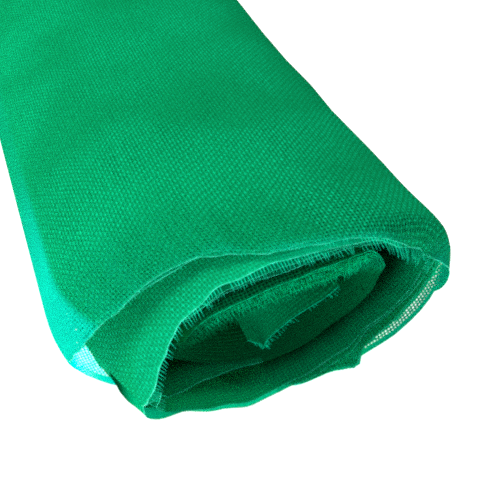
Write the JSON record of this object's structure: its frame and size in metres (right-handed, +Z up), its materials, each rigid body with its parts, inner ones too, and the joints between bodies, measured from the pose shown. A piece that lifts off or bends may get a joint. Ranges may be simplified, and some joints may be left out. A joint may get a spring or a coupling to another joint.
{
  "type": "roll of mosquito netting",
  "caption": "Loosely wound roll of green mosquito netting lying on its side, with an open fringed end, a loose outer wrap and a slack inner coil.",
  "frame": {"origin": "on the surface it rests on, under the middle of the roll's bounding box", "axes": "+Y along the roll, away from the open end that faces the viewer; +Z up, across the flattened roll"},
  "size_m": [0.1451, 0.6, 0.0749],
  "materials": {
    "net": "sheer plain-woven net of satin green yarn"
  },
  "bodies": {
    "root": {"roll": "net", "inner_corner": "net"}
  },
  "joints": []
}
